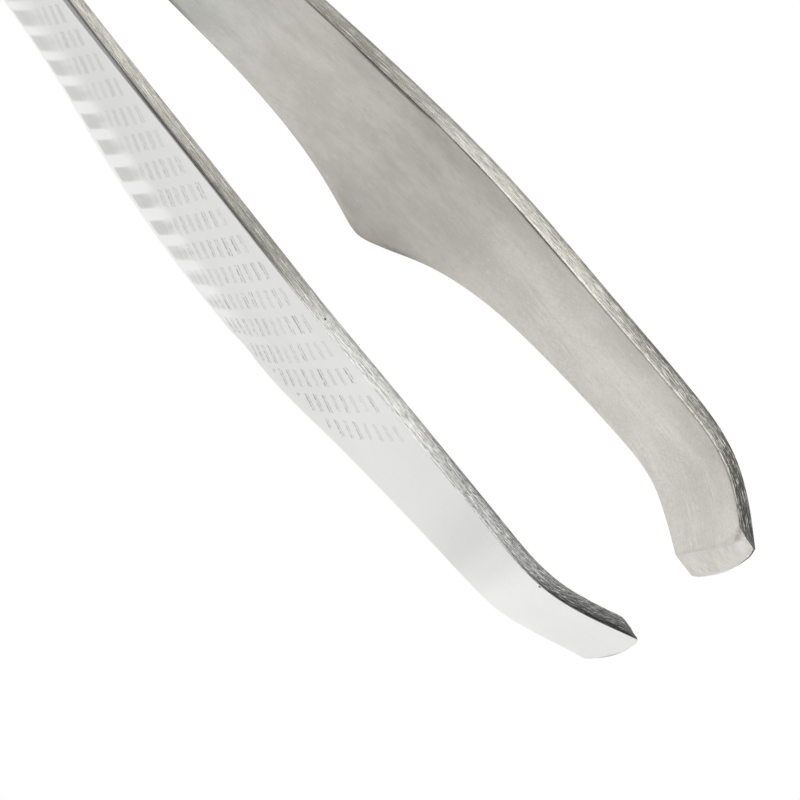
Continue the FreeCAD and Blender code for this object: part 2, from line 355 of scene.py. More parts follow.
# ------------------------------------------------------------------ the blade skins
OUTER_POINTS = 113      # points across the outer face
INNER_STEP = 4          # the inner face takes every fourth
CORNER_SEGMENTS = 4
OUTER_FACE, SIDE, INNER_FACE, OUTER_CORNER = range(4)       # zones around a ring
# material slots
OUTER_SLOT, EDGE_SLOT, INNER_SLOT, LAND_SLOT = range(4)
# (start, end, spacing) of the rings behind the heel's rounding
STATION_RUNS = (
    (HEEL_CORNER_R, WELD_END, 0.67), (WELD_END, 16.0, 0.4), (16.0, 38.0, 0.55),
    (38.0, 81.2, 0.127), (81.2, SLIDE_START, 0.22), (SLIDE_START, LAND_STATION, 0.13),
    (LAND_STATION, LENGTH, 0.10))
# Outer upper corner by X: radius, its share on the right blade, and its depth over its width
TOP_CORNER_R = (
    (0.0, 0.34), (40.0, 0.34), (50.0, 0.30), (57.0, 0.23), (60.0, 0.18), (64.0, 0.135),
    (68.0, 0.115), (70.0, 0.07), (72.0, 0.020), (88.0, 0.020), (90.0, 0.045), (93.0, 0.060),
    (95.5, 0.050))
RIGHT_CORNER_SHARE = ((0, 1.0), (40, 1.0), (56, 0.40), (70, 0.40), (73, 1.0))
CORNER_DEPTH_RATIO = ((0, 1.35), (46, 1.35), (60, 1.15), (70, 1.0))


def station_list():
    stations = [HEEL_CORNER_R * (1 - math.cos(a)) for a in np.linspace(0.0, math.pi / 2, 15)]
    stations += [BEAD_DEPTH / 2, BEAD_DEPTH]
    for start, end, spacing in STATION_RUNS:
        count = max(1, int(round((end - start) / spacing)))
        stations += [start + (end - start) * i / count for i in range(count + 1)]
    stations.sort()
    kept = [stations[0]]
    for station in stations[1:]:
        if station - kept[-1] > 0.012:
            kept.append(station)
    kept[-1] = LENGTH
    return np.array(kept)


def ring_profile(station, side, width, top, low):
    """Loop around the section: distance across, share of the depth and zone of each point.
    `top` and `low` are the thicknesses at the upper and lower edge."""
    top_r = min(lookup(station, TOP_CORNER_R), 0.40 * top)
    if side > 0:
        top_r *= lookup(station, RIGHT_CORNER_SHARE)
    top_deep = min(top_r * lookup(station, CORNER_DEPTH_RATIO), 0.55 * top)
    inner_top_r = min(0.022 if side > 0 else 0.040, 0.30 * top)
    low_r = min(0.10, 0.40 * low)
    inner_low_r = min(0.05, 0.35 * low)
    middle = max(0.5, top_deep / top + 0.12)
    angle = np.linspace(0, math.pi / 2, CORNER_SEGMENTS + 1)[1:-1]
    rise, fall = 1 - np.cos(angle), 1 - np.sin(angle)
    spread = np.linspace(0, 1, OUTER_POINTS)
    inner = inner_top_r + (width - inner_top_r - inner_low_r) * spread[::INNER_STEP]
    deep_top, deep_low, inner_low = top_deep / top, low_r / low, 1 - inner_low_r / low
    inner_top = 1 - inner_top_r / top
    parts = (
        ([0, 0, 0], [middle, (middle + deep_top) / 2, deep_top], SIDE),
        (top_r * rise, top_deep * fall / top, OUTER_CORNER),
        (top_r + (width - top_r - low_r) * spread, np.zeros(OUTER_POINTS), OUTER_FACE),
        (width - low_r * fall, low_r * rise / low, OUTER_CORNER),
        ([width] * 3, [deep_low, (deep_low + inner_low) / 2, inner_low], SIDE),
        (width - inner_low_r * rise, 1 - inner_low_r * fall / low, SIDE),
        (inner[::-1], np.ones(len(inner)), INNER_FACE),
        (inner_top_r * fall, 1 - inner_top_r * rise / top, SIDE),
        ([0, 0], [inner_top, (middle + inner_top) / 2], SIDE))
    across, depth = (np.concatenate([part[i] for part in parts]) for i in (0, 1))
    return across, depth, np.concatenate([[part[2]] * len(part[0]) for part in parts])


def blade_rings(side):
    """Points of every ring, then along, across, share, depth, normal, zone, width and
    relieved facet of each point."""
    stations = np.append(station_list(), LENGTH)    # the last ring closes the rounded end edge
    last = len(stations) - 1
    shares = np.linspace(0, 1, 121)
    rings = []
    for j, station in enumerate(stations):
        slid = slide(np.full(shares.shape, station), shares)
        line = outer_face(slid, shares)
        arc = np.concatenate([[0], np.cumsum(np.linalg.norm(np.diff(line, axis=0), axis=1))])
        width = arc[-1]
        ends = [0, -1]
        top, low = thickness(slid[ends], line[ends], normal(slid[ends], shares[ends]))
        across, depth, zone = ring_profile(station, side, width, top, low)
        share = np.interp(across, arc, shares)
        place = station - 0.035 if j == last - 1 else station
        along = slide(np.full(share.shape, place), share)
        face = outer_face(along, share)
        out = normal(along, share)
        full = thickness(along, face, out)
        kept = relief(along, share, full)
        inset = 0.14 + 0.72 * depth if j == last else depth
        rings.append((face - out * (kept * inset)[:, None], along, across, share, depth, out,
                      zone, np.full(share.shape, width), np.clip((full - kept) / 0.12, 0, 1)))
    return [np.array(column) for column in zip(*rings)]


def cap_polygons(zones):
    """End cap of a ring: the outer face's points joined to the inner face's, cell by cell."""
    outer = np.flatnonzero(zones == OUTER_FACE).tolist()
    inner = np.flatnonzero(zones == INNER_FACE).tolist()[::-1]
    polygons = [
        [inner[i]] + outer[i * INNER_STEP:(i + 1) * INNER_STEP + 1] + [inner[i + 1]]
        for i in range(len(inner) - 1)]
    polygons.append(list(range(inner[0], len(zones))) + list(range(outer[0] + 1)))
    polygons.append(list(range(outer[-1], inner[-1] + 1)))
    return polygons


def make_blade(name, side):
    points, along, across, share, depth, out, zone, width, facet = blade_rings(side)
    rings, size = along.shape

    engraving = {key: np.full(along.shape, value) for key, value in PLAIN.items()}
    gripped = (zone == OUTER_FACE) & (along > 34) & (along < 82)
    cut = engrave(points[..., 0][gripped], across[gripped], width[gripped])
    for key, values in cut.items():
        engraving[key][gripped] = values
    engraving["ridge"] = (engraving["ridge"] * (1 - engraving["band"])
                          * smooth((along - 37.5) / 5.0))
    points = points - out * (STROKE_DEPTH * engraving["groove"])[..., None]

    # slight hand-finished unevenness of the inner face
    phase = 0.0 if side > 0 else 2.1
    wave = (0.010 * np.sin(along * 0.55 + phase)
            * np.sin(across * 0.7 + 0.4 * phase + along * 0.11)
            * smooth((along - 12) / 12) * smooth((90 - along) / 6))
    points = points + out * wave[..., None] * (zone == INNER_FACE)[..., None]

    # coordinate across each surface for the grinding lines, offset to keep surfaces apart
    lay = np.where(zone == INNER_FACE, 20 + across, across)
    lay = np.where((zone == SIDE) & (share > 0.5), 14 + depth * 0.9, lay)
    lay = np.where((zone == SIDE) & (share <= 0.5), 40 + depth * 0.9, lay)

    # direction of the lay of the metal: along the blade
    flow = np.gradient(points, axis=0)
    flow = flow / np.maximum(np.linalg.norm(flow, axis=2, keepdims=True), 1e-9)
    flow[-2:] = flow[-3]

    mirror = np.array([1.0, float(side), 1.0])
    flow = flow * mirror
    verts = (points * mirror).reshape(-1, 3) * MM

    quads = ring_quads(rings, size)
    if side < 0:
        quads = [(a, d, c, b) for a, b, c, d in quads]
    on_land = along > land_start(share) - 1e-4

    def quad_slot(j, i, k):
        zones = {int(zone[0, i]), int(zone[0, k])}
        if zones == {INNER_FACE}:
            return LAND_SLOT if on_land[j, i] and on_land[j, k] else INNER_SLOT
        return OUTER_SLOT if zones & {OUTER_FACE, OUTER_CORNER} else EDGE_SLOT

    slots = [quad_slot(j, i, (i + 1) % size) for j in range(rings - 1) for i in range(size)]
    caps = []
    for j in (0, rings - 1):
        order = -1 if (side > 0) == (j == 0) else 1
        caps += [tuple(j * size + i for i in polygon)[::order]
                 for polygon in cap_polygons(zone[0])]
    slots += [EDGE_SLOT] * len(caps)

    ob = mesh_object(name, verts.tolist(), quads + caps)
    mesh = ob.data
    attributes = {
        "u_mm": along, "q_mm": lay, "w_mm": across, **engraving, "s_pos": share,
        "t_y": depth if side < 0 else 1 - depth,        # grows towards +Y on both blades
        "left_side": np.full(along.shape, 1.0 if side < 0 else 0.0),
        "to_land": along - land_start(share) + relief_lead(share),
        "facet": facet}
    for key, values in attributes.items():
        attribute = mesh.attributes.new(key, "FLOAT", "POINT")
        attribute.data.foreach_set("value", values.reshape(-1).astype(np.float32))
    attribute = mesh.attributes.new("flow", "FLOAT_VECTOR", "POINT")
    attribute.data.foreach_set("vector", flow.reshape(-1).astype(np.float32))
    mesh.polygons.foreach_set("use_smooth", [True] * len(slots))
    mesh.polygons.foreach_set("material_index", slots)
    turn_outward(mesh, verts, quads)
    mesh.update()
    return ob


# ------------------------------------------------------------------ node helpers
class Net:
    """Node tree of a material or world, emptied; inputs take numbers or sockets."""

    def __init__(self, owner):
        owner.use_nodes = True
        self.tree = owner.node_tree
        self.tree.nodes.clear()

    def node(self, kind, **settings):
        node = self.tree.nodes.new(kind)
        for key, value in settings.items():
            setattr(node, key, value)
        return node

    def put(self, socket, value):
        if isinstance(value, bpy.types.NodeSocket):
            self.tree.links.new(value, socket)
        else:
            socket.default_value = value

    def shader(self, kind, **inputs):
        """Shader node with inputs named by keyword; returns its output."""
        node = self.node(kind)
        for key, value in inputs.items():
            self.put(node.inputs[key.replace("_", " ")], value)
        return node.outputs[0]

    def mix_shaders(self, factor, first, second):
        node = self.node("ShaderNodeMixShader")
        for socket, value in zip(node.inputs, (factor, first, second)):
            self.put(socket, value)
        return node.outputs[0]

    def camera_ray(self):
        return self.node("ShaderNodeLightPath").outputs["Is Camera Ray"]

    def coordinates(self, space):
        return self.node("ShaderNodeTexCoord").outputs[space]

    def attribute(self, name, output="Fac"):
        return self.node("ShaderNodeAttribute", attribute_name=name).outputs[output]

    def math(self, operation, *values):
        node = self.node("ShaderNodeMath", operation=operation)
        for socket, value in zip(node.inputs, values):
            self.put(socket, value)
        return node.outputs[0]

    def add(self, first, second):
        return self.math("ADD", first, second)

    def sub(self, first, second):
        return self.math("SUBTRACT", first, second)

    def mul(self, first, second):
        return self.math("MULTIPLY", first, second)

    def highest(self, first, second):
        return self.math("MAXIMUM", first, second)

    def scaled(self, value, by, plus):
        return self.math("MULTIPLY_ADD", value, by, plus)

    def noise(self, vector, scale, detail, rough):
        node = self.node("ShaderNodeTexNoise")
        self.put(node.inputs["Vector"], vector)
        node.inputs["Scale"].default_value = scale
        node.inputs["Detail"].default_value = detail
        node.inputs["Roughness"].default_value = rough
        return node.outputs["Fac"]

    def ramp(self, value, over, to=(0.0, 1.0), kind="SMOOTHSTEP"):
        """Maps the range `over` onto the range `to`, held at both ends."""
        node = self.node("ShaderNodeMapRange", interpolation_type=kind, clamp=True)
        self.put(node.inputs["Value"], value)
        for key, limit in zip(("From Min", "From Max", "To Min", "To Max"), (*over, *to)):
            node.inputs[key].default_value = limit
        return node.outputs["Result"]

    def mix(self, factor, first, second, kind="MIX"):
        node = self.node("ShaderNodeMix", data_type="RGBA", blend_type=kind)
        self.put(node.inputs["Factor"], factor)
        colours = [socket for socket in node.inputs if socket.type == "RGBA"]
        self.put(colours[0], first)
        self.put(colours[1], second)
        return [socket for socket in node.outputs if socket.type == "RGBA"][0]

    def bump(self, height, strength, distance):
        return self.shader("ShaderNodeBump", Strength=strength, Distance=distance,
                           Height=height)

    def output(self, kind, shader):
        self.put(self.node(kind).inputs[0], shader)


class Steel(Net):
    """Stainless steel with a lay along the blade; its colour is built up in layers."""

    def __init__(self, name, base):
        self.material = bpy.data.materials.new(name)
        super().__init__(self.material)
        self.base = self.colour = base
        self.along, self.lay = self.attribute("u_mm"), self.attribute("q_mm")

    def grain(self, per_mm, seed, detail=3.0, rough=0.6):
        """Noise with so many features per mm along and across the blade."""
        vector = self.node("ShaderNodeCombineXYZ")
        for socket, value in zip(vector.inputs, (self.mul(self.along, per_mm[0]),
                                                 self.mul(self.lay, per_mm[1]), seed)):
            self.put(socket, value)
        return self.noise(vector.outputs[0], 1.0, detail, rough)

    def slanted(self, per_mm, shift, seed, detail=3.0, rough=0.6):
        """Grain whose features are carried across the blade by `shift`."""
        vector = self.node("ShaderNodeCombineXYZ")
        for socket, value in zip(vector.inputs, (
                self.mul(self.along, per_mm[0]),
                self.scaled(self.lay, by=per_mm[1], plus=shift), seed)):
            self.put(socket, value)
        return self.noise(vector.outputs[0], 1.0, detail, rough)

    def lines(self):
        return self.grain(per_mm=(0.30, 11.0), seed=0.0, detail=4.0)

    def hair(self):
        return self.grain(per_mm=(0.9, 30.0), seed=3.0)

    def by_length(self, *points):
        """Eased value along the blade through (X, value) points."""
        low, high = points[0][0], points[-1][0]
        place = self.ramp(self.along, over=(low, high), kind="LINEAR")
        node = self.node("ShaderNodeValToRGB")
        node.color_ramp.interpolation = "EASE"
        elements = node.color_ramp.elements
        while len(elements) < len(points):
            elements.new(0.5)
        for element, (x, value) in zip(elements, points):
            element.position = (x - low) / (high - low)
            element.color = (value, value, value, 1)
        self.put(node.inputs[0], place)
        return node.outputs[0]

    def tint(self, level, warm=0.0):
        """Base colour at a brightness, with `warm` taken off the blue."""
        red, green, blue, _ = self.base
        return (red * level, green * level, blue * (level - warm), 1)

    def layer(self, mask, colour):
        self.colour = self.mix(mask, self.colour, colour)

    def shade(self, mask, level, warm=0.0):
        self.layer(mask, self.tint(level, warm))

    def stain(self, source, over, to=(0.0, 1.0), level=1.0, warm=0.0, within=None):
        """Shades where a pattern's ramp is high, held within a second mask if there is one."""
        mask = self.ramp(source, over, to)
        self.shade(mask if within is None else self.mul(mask, within), level, warm)

    def times(self, factor):
        return self.mix(1.0, self.colour, factor, "MULTIPLY")

    def pit(self, across, centre, radii, left):
        """Mask of a small round pit on the left blade."""
        squares = [self.math("POWER", self.math("DIVIDE", self.sub(value, middle), radius), 2.0)
                   for value, middle, radius in zip((self.along, across), centre, radii)]
        return self.mul(self.ramp(self.add(*squares), over=(1.3, 0.5)), left)

    def finish(self, roughness, anisotropy, height, strength, distance):
        self.output("ShaderNodeOutputMaterial", self.shader(
            "ShaderNodeBsdfPrincipled", Base_Color=self.colour, Metallic=1.0,
            Roughness=roughness, Anisotropic=anisotropy,
            Tangent=self.attribute("flow", "Vector"),
            Normal=self.bump(height, strength, distance)))
        return self.material


# ------------------------------------------------------------------ materials
PAINTED_FACET_HIGHLIGHT = (1.0, 0.985, 0.955, 1)      # painted highlight on the relieved facet at the upper tip corner
SCRATCH = (0.92, 0.92, 0.90, 1)


def outer_steel():
    steel = Steel("satin_outer_face", base=(0.970, 0.969, 0.955, 1))
    along, lines, hair = steel.along, steel.lines(), steel.hair()
    band = steel.attribute("band")
    # painted light and shade along the blade: the outer face's brightness by X
    tone = steel.by_length(
        (30, 0.90), (50, 0.885), (57, 0.89), (63, 0.915), (69, 0.92), (74, 0.935), (79, 0.955),
        (83, 0.93), (86.5, 0.84), (88.2, 0.92), (90, 1.04), (92, 1.01), (94, 0.955),
        (95.5, 0.94))
    cloud = steel.grain(per_mm=(0.10, 0.16), seed=7.0, detail=2.0, rough=0.5)
    steel.stain(cloud, over=(0.40, 0.62), level=0.965)
    steel.stain(hair, over=(0.55, 0.8), to=(0.0, 0.08), level=0.90)

    # engraved strokes: painted shade on their floor, with ragged borders
    ragged = steel.grain(per_mm=(7.0, 7.0), seed=31.0)
    wobble = steel.scaled(ragged, by=0.12, plus=-0.06)
    flank = steel.add(steel.attribute("flank"), wobble)
    tail = steel.add(steel.attribute("tail"), steel.mul(wobble, 2.0))
    fore = steel.ramp(along, over=(58.0, 70.0))
    # strokes fade where they merge, less so forward
    lone = steel.scaled(steel.attribute("run"), by=steel.scaled(fore, by=0.8, plus=-0.8),
                        plus=1.0)
    fill = steel.mul(steel.ramp(steel.highest(flank, tail), over=(0.03, -0.04)),
                     steel.scaled(steel.attribute("ra"), by=0.45, plus=0.35))
    fill = steel.mul(fill, steel.mul(lone, steel.scaled(fore, by=-0.35, plus=1.0)))
    steel.shade(fill, level=0.80, warm=0.005)
    # painted shade on the bands of merged strokes
    steel.shade(steel.mul(band, steel.ramp(along, over=(50.0, 62.0), to=(0.72, 0.92))),
                level=0.80, warm=0.003)

    # thin broken dark outline along the flanks: painted shade of the stroke walls
    gaps = steel.grain(per_mm=(2.6, 6.5), seed=37.0, detail=2.5, rough=0.55)
    rim = steel.ramp(steel.math("ABSOLUTE", steel.add(flank, 0.012)), over=(0.046, 0.006))
    rim = steel.mul(rim, steel.ramp(tail, over=(0.03, -0.03)))
    rim = steel.mul(rim, steel.ramp(gaps, over=(0.40, 0.54)))
    rim = steel.mul(rim, steel.scaled(steel.attribute("rb"), by=0.75, plus=0.25))
    rim = steel.mul(rim, steel.mul(lone, steel.scaled(fore, by=0.70, plus=0.30)))
    steel.shade(rim, level=0.28, warm=0.02)

    # painted highlight on the ridges between the merged bands
    ridge = steel.mul(steel.attribute("ridge"), steel.ramp(along, over=(76.0, 68.0)))
    steel.shade(steel.mul(ridge, steel.ramp(along, over=(50.0, 61.0), to=(0.50, 1.0))),
                level=1.30)
    steel.colour = steel.times(tone)

    # painted shade on the outer corner of the left blade behind the forward part, and a pit near
    # its tip
    dark = steel.mul(steel.ramp(steel.attribute("t_y"), over=(0.01, 0.09)), steel.by_length(
        (30, 0.0), (56.5, 0.02), (60, 0.66), (64, 0.74), (68.5, 0.70), (70.5, 0.0),
        (95.5, 0.0)))
    steel.shade(steel.mul(dark, steel.attribute("left_side")), level=0.18, warm=0.01)
    pit = steel.pit(steel.attribute("w_mm"), centre=(90.45, 0.13), radii=(0.075, 0.075),
                    left=steel.attribute("left_side"))
    steel.layer(steel.mul(pit, 0.97), (0.02, 0.02, 0.02, 1))
    return steel.finish(
        roughness=steel.add(steel.ramp(lines, over=(0.3, 0.7), to=(0.27, 0.35)),
                            steel.mul(steel.attribute("groove"), 0.10)),
        anisotropy=0.35, height=steel.add(steel.mul(lines, 0.35), steel.mul(hair, 0.25)),
        strength=0.02, distance=0.00002)


def inner_steel():
    # the base is darker and warmer than the outer face's: painted shade of the floor and blade
    # this face looks at
    steel = Steel("brushed_inner_face", base=(0.781, 0.751, 0.704, 1))
    along, lines, hair = steel.along, steel.lines(), steel.hair()
    cloud = steel.grain(per_mm=(0.26, 0.42), seed=7.0)
    streak = steel.grain(per_mm=(0.30, 1.3), seed=11.0)
    fine = steel.grain(per_mm=(0.45, 7.0), seed=5.0)
    marks = steel.grain(per_mm=(2.2, 15.0), seed=17.0, detail=2.0, rough=0.5)
    spots = steel.grain(per_mm=(1.6, 2.2), seed=23.0, detail=4.0, rough=0.65)
    grit = steel.grain(per_mm=(5.0, 26.0), seed=27.0, detail=2.0)
    scratch = steel.slanted(per_mm=(0.45, 15.0), shift=steel.mul(along, -0.9), seed=33.0,
                            detail=2.0, rough=0.5)
    fore = steel.ramp(along, over=(68.0, 80.0))
    patches = steel.grain(per_mm=(0.22, 0.5), seed=43.0, detail=1.0, rough=0.5)
    patch = steel.mul(steel.ramp(patches, over=(0.42, 0.60)), fore)
    steel.colour = steel.tint(1.055)
    # pattern, range it fades over, strengths at its ends, level, warmth, second mask
    for layer in (
            (cloud, (0.38, 0.64), (0.0, 1.0), 0.935, 0.006, None),
            (streak, (0.50, 0.72), (0.0, 0.55), 0.86, 0.01, None),
            (fine, (0.52, 0.75), (0.0, 0.30), 0.88, 0.01, None),
            (hair, (0.62, 0.82), (0.0, 0.45), 1.20, 0.0, None),
            (spots, (0.52, 0.68), (0.0, 0.50), 0.90, 0.01, None),
            (marks, (0.62, 0.71), (0.0, 0.80), 1.24, 0.0, None),
            (marks, (0.28, 0.38), (0.70, 0.0), 0.78, 0.01, None),
            (grit, (0.54, 0.70), (0.0, 0.85), 1.22, 0.0, fore),
            (grit, (0.30, 0.46), (0.85, 0.0), 0.80, 0.01, fore),
            (scratch, (0.60, 0.67), (0.0, 0.65), 1.28, 0.0, patch),
            (scratch, (0.32, 0.39), (0.45, 0.0), 0.78, 0.01, patch)):
        steel.stain(*layer)
    # the rear is a little cooler
    steel.layer(steel.ramp(along, over=(64.0, 54.0)), steel.times((0.958, 1.0, 1.004, 1)))
    # painted light and shade along the blade: the inner face's brightness by X
    steel.colour = steel.times(steel.by_length(
        (30, 0.86), (52, 0.86), (60, 0.87), (65, 0.82), (69, 0.76), (73, 0.75), (77, 0.87),
        (81, 0.94), (88, 0.96), (91, 0.91), (95.5, 1.0)))
    # painted shade in the crease where the land begins
    crease = steel.ramp(steel.attribute("to_land"), over=(-0.22, -0.04))
    steel.shade(steel.mul(crease, 0.20), level=0.55, warm=0.01)
    # painted shade towards the upper corner, with a painted dark line on it
    across = steel.attribute("w_mm")
    broad = steel.mul(steel.ramp(across, over=(2.2, 0.0), kind="LINEAR"), steel.by_length(
        (30, 0.10), (60, 0.12), (74, 0.22), (80, 0.32), (90, 0.30), (93, 0.05), (95.5, 0.0)))
    steel.shade(broad, level=0.40, warm=0.02)
    rim = steel.mul(steel.ramp(across, over=(0.15, 0.05)), steel.by_length(
        (30, 0.5), (60, 0.6), (80, 0.6), (86, 0.35), (92, 0.45), (93.5, 0.2), (95.5, 0.0)))
    steel.shade(rim, level=0.14, warm=0.01)
    # painted highlight on the relieved facet at the upper tip corner
    steel.layer(steel.attribute("facet"), PAINTED_FACET_HIGHLIGHT)
    return steel.finish(
        roughness=steel.ramp(lines, over=(0.3, 0.7), to=(0.31, 0.43)), anisotropy=0.45,
        height=steel.add(steel.mul(lines, 0.5), steel.mul(hair, 0.35)),
        strength=0.12, distance=0.00002)


def edge_steel():
    steel = Steel("ground_edge", base=(0.725, 0.720, 0.687, 1))
    along, lines = steel.along, steel.lines()
    left = steel.attribute("left_side")
    toward_y = steel.attribute("t_y")       # 0 at the strip's -Y corner, 1 at its +Y corner

    def by_blade(on_left, on_right):
        return steel.add(steel.mul(left, on_left), steel.mul(steel.sub(1.0, left), on_right))

    # painted light and shade along the strip: its brightness by X
    tone = steel.by_length(
        (30, 0.80), (56, 0.80), (60, 0.66), (64, 0.55), (68, 0.52), (71, 0.68), (74, 0.95),
        (80, 0.95), (83, 0.66), (86, 0.62), (89, 0.58), (91, 0.40), (92.5, 0.28), (95.5, 0.24))
    # painted light and shade across the strip, different on each blade: its slope, then its
    # level
    slope = by_blade(
        steel.by_length((30, 0.335), (66, 0.335), (72, 0.65), (76, 0.725), (84, 0.80),
                        (87, 0.675), (90, 0.475), (92, 0.05), (95.5, 0.0)),
        steel.by_length((30, 0.30), (64, 0.28), (68, 0.50), (71, 0.60), (78, 0.73), (82, 0.80),
                        (86, 0.88), (90, 0.75), (93, 0.50), (95.5, 0.50)))
    slope = steel.scaled(slope, by=2.0, plus=-1.0)
    balance = steel.scaled(steel.sub(0.5, toward_y), by=slope, plus=1.0)
    balance = steel.mul(balance, by_blade(
        steel.by_length((30, 0.90), (56, 0.94), (62, 0.95), (66, 0.90), (70, 0.77), (74, 0.93),
                        (78, 0.98), (82, 1.06), (86, 1.10), (89, 0.94), (91, 1.01), (93, 1.16),
                        (95.5, 1.12)),
        steel.by_length((30, 0.72), (58, 0.66), (63, 0.61), (67, 0.94), (70.5, 1.03),
                        (73, 0.80), (75, 0.71), (80, 0.75), (83, 0.69), (87, 0.70), (89, 0.65),
                        (91, 0.425), (93, 0.375), (95.5, 0.56))))

    # the scratches run along the strip, and lean across it on the bent tip
    beyond = steel.highest(steel.sub(along, 84.5), 0.0)
    cut = steel.slanted(per_mm=(1.3, 22.0), shift=steel.mul(beyond, 4.0), seed=3.0, rough=0.62)
    steel.colour = steel.tint(0.62, warm=0.01)
    steel.stain(lines, over=(0.32, 0.68), level=1.12)
    steel.layer(steel.ramp(cut, over=(0.52, 0.70), to=(0.0, 0.85)), (1.0, 1.0, 0.985, 1))
    steel.stain(cut, over=(0.30, 0.44), to=(0.75, 0.0), level=0.36, warm=0.01)
    steel.colour = steel.times(tone)
    steel.colour = steel.times(balance)

    # long scratches, then a broken, pitted finish towards the tip
    scratch = steel.slanted(per_mm=(0.55, 21.0), shift=steel.mul(along, 0.5), seed=9.0)
    steel.stain(scratch, over=(0.34, 0.45), to=(0.75, 0.0), level=0.22, warm=0.01)
    steel.layer(steel.ramp(scratch, over=(0.57, 0.68), to=(0.0, 0.55)), SCRATCH)
    speck = steel.slanted(
        per_mm=(steel.scaled(left, by=0.6, plus=1.5), 21.0),
        shift=steel.mul(beyond, steel.scaled(left, by=-2.8, plus=-0.6)), seed=21.0, rough=0.70)
    rough_end = steel.by_length((30, 0.15), (69, 0.20), (73, 0.50), (80, 0.75), (88, 1.0),
                                (95.5, 1.0))
    steel.layer(steel.mul(steel.ramp(speck, over=(0.54, 0.63), to=(0.0, 0.75)), rough_end),
                SCRATCH)
    steel.stain(speck, over=(0.37, 0.47), to=(0.90, 0.0), level=0.14, within=rough_end)

    # painted dark line along the +Y corner
    steel.stain(toward_y, over=(0.74, 0.86), level=0.10, within=steel.by_length(
        (30, 0.30), (70, 0.32), (78, 0.30), (82, 0.42), (86, 0.55), (90, 0.40), (93, 0.20),
        (95.5, 0.2)))
    # painted shade on the left blade's outer corner: behind the straight run and again at the
    # tip
    rear_painted_shade = steel.mul(
        steel.ramp(toward_y, over=(0.34, 0.12), to=(0.0, 0.58)),
        steel.by_length((30, 0.0), (56.5, 0.15), (60, 1.0), (65, 1.0), (68.5, 0.7), (71, 0.0),
                        (95.5, 0.0)))
    tip_painted_shade = steel.mul(
        steel.ramp(toward_y, over=(0.46, 0.04), to=(0.0, 0.80)),
        steel.by_length((30, 0.0), (89, 0.0), (91.5, 0.65), (93, 1.0), (95.5, 1.0)))
    steel.shade(steel.mul(steel.highest(rear_painted_shade, tip_painted_shade), left), level=0.05)

    # painted glint: a broken bright line along the -Y corner, ending sooner on the left blade
    glint = steel.mul(steel.ramp(toward_y, over=(0.16, 0.07)), steel.by_length(
        (30, 0.0), (70, 0.05), (73, 0.85), (93, 0.85), (94.4, 0.4), (95.5, 0.0)))
    ending = steel.ramp(along, over=(87.0, 90.0), to=(0.0, -1.0))
    glint = steel.mul(glint, steel.scaled(left, by=ending, plus=1.0))
    glint = steel.mul(glint, steel.scaled(left, by=0.45, plus=0.55))
    broken = steel.grain(per_mm=(3.2, 5.0), seed=41.0)
    glint = steel.mul(glint, steel.ramp(broken, over=(0.34, 0.52), to=(0.35, 1.0)))
    steel.layer(glint, (1.0, 1.0, 0.99, 1))

    pit = steel.pit(toward_y, centre=(73.52, 0.45), radii=(0.075, 0.065), left=left)
    steel.layer(steel.mul(pit, 0.92), (0.03, 0.03, 0.03, 1))
    # a faint straw tone, only to the rear on the left blade
    straw = steel.highest(steel.sub(1.0, left), steel.ramp(along, over=(73.5, 70.0)))
    steel.layer(straw, steel.times((1.015, 1.0, 0.945, 1)))
    return steel.finish(
        roughness=steel.ramp(lines, over=(0.3, 0.7), to=(0.26, 0.44)), anisotropy=0.55,
        height=steel.add(steel.mul(lines, 0.8), steel.mul(cut, 0.7)),
        strength=0.45, distance=0.00003)


def land_steel():
    steel = Steel("ground_land", base=(0.755, 0.734, 0.693, 1))
    scratch = steel.slanted(per_mm=(2.6, 17.0), shift=steel.mul(steel.along, 7.5), seed=5.0,
                            detail=4.0)
    cloud = steel.grain(per_mm=(0.8, 0.8), seed=9.0, detail=2.0, rough=0.5)
    steel.colour = steel.tint(1.05)
    steel.stain(cloud, over=(0.35, 0.65), level=0.95, warm=0.01)
    steel.stain(scratch, over=(0.50, 0.66), to=(0.0, 0.85), level=1.30)
    steel.stain(scratch, over=(0.32, 0.47), to=(0.80, 0.0), level=0.72, warm=0.01)
    # painted highlight on the relieved facet
    steel.layer(steel.mul(steel.attribute("facet"), 0.8), PAINTED_FACET_HIGHLIGHT)
    return steel.finish(
        roughness=steel.ramp(scratch, over=(0.3, 0.7), to=(0.35, 0.48)), anisotropy=0.0,
        height=scratch, strength=0.30, distance=0.00002)


def weld_steel():
    material = bpy.data.materials.new("weld_metal")
    net = Net(material)
    base = (0.62, 0.61, 0.60, 1)
    straw = (0.55, 0.50, 0.42, 1)
    place = net.coordinates("Object")
    stretched = net.shader("ShaderNodeMapping", Vector=place, Scale=(900, 2500, 700))
    ripple = net.noise(stretched, scale=1.0, detail=4.0, rough=0.6)
    blotch = net.noise(place, scale=420.0, detail=2.0, rough=0.5)
    dark = (*(channel * 0.75 for channel in base[:3]), 1)
    colour = net.mix(net.ramp(ripple, over=(0.3, 0.7)), dark, base)
    colour = net.mix(net.ramp(blotch, over=(0.4, 0.7), to=(0.0, 0.5)), colour, straw)
    net.output("ShaderNodeOutputMaterial", net.shader(
        "ShaderNodeBsdfPrincipled", Base_Color=colour, Metallic=1.0,
        Roughness=net.ramp(ripple, over=(0.3, 0.7), to=(0.30, 0.48)),
        Normal=net.bump(ripple, strength=0.4, distance=0.00004)))
    return material


BLADE_MATERIALS = [outer_steel(), edge_steel(), inner_steel(), land_steel()]   # in slot order
WELD = weld_steel()

for side, arm in ((1, "right"), (-1, "left")):
    blade = make_blade(arm + "_blade", side)
    for material in BLADE_MATERIALS:
        blade.data.materials.append(material)
    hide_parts(arm + "_blade_tang", arm + "_blade_arm")
    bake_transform(blade)


